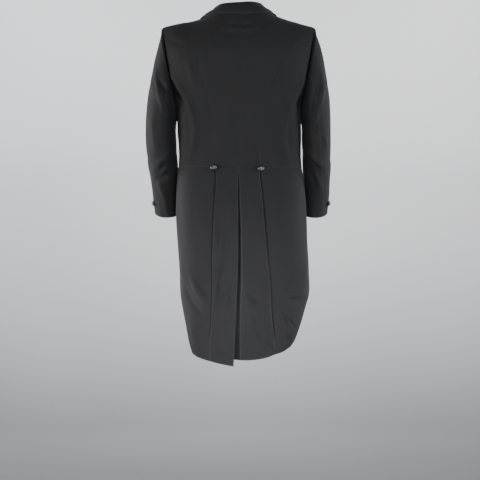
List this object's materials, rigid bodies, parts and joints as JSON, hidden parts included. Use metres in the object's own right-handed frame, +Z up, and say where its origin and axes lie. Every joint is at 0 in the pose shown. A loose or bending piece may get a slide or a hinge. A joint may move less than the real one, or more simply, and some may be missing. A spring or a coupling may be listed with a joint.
{
  "type": "white tie tailcoat",
  "caption": "Tailcoat for evening wear in its worn shape: cut away at the waist in front, with long vented tails, peaked lapels and two-piece sleeves.",
  "frame": {"origin": "centre of the neck opening, at the height of the collar's lower edge at the centre back", "axes": "+Z up along the wearer, +X to the wearer's left, -Y to the coat's front"},
  "size_m": [0.593, 0.2813, 1.1455],
  "materials": {
    "wool": "black wool twill, matt with a faint sheen",
    "satin": "black silk satin, soft gloss",
    "button": "button covered in black silk satin"
  },
  "bodies": {
    "root": {"back_left": "wool", "side_body_left": "wool", "forepart_left": "wool", "skirt_left": "wool", "top_sleeve_left": "wool", "under_sleeve_left": "wool", "back_right": "wool", "side_body_right": "wool", "forepart_right": "wool", "skirt_right": "wool", "top_sleeve_right": "wool", "under_sleeve_right": "wool", "collar": "wool", "lapel_left": "satin", "lapel_right": "satin", "back_button_left": "button", "cuff_button_left": "button", "front_button_left_1": "button", "front_button_left_2": "button", "front_button_left_3": "button", "back_button_right": "button", "cuff_button_right": "button", "front_button_right_1": "button", "front_button_right_2": "button", "front_button_right_3": "button"}
  },
  "joints": []
}
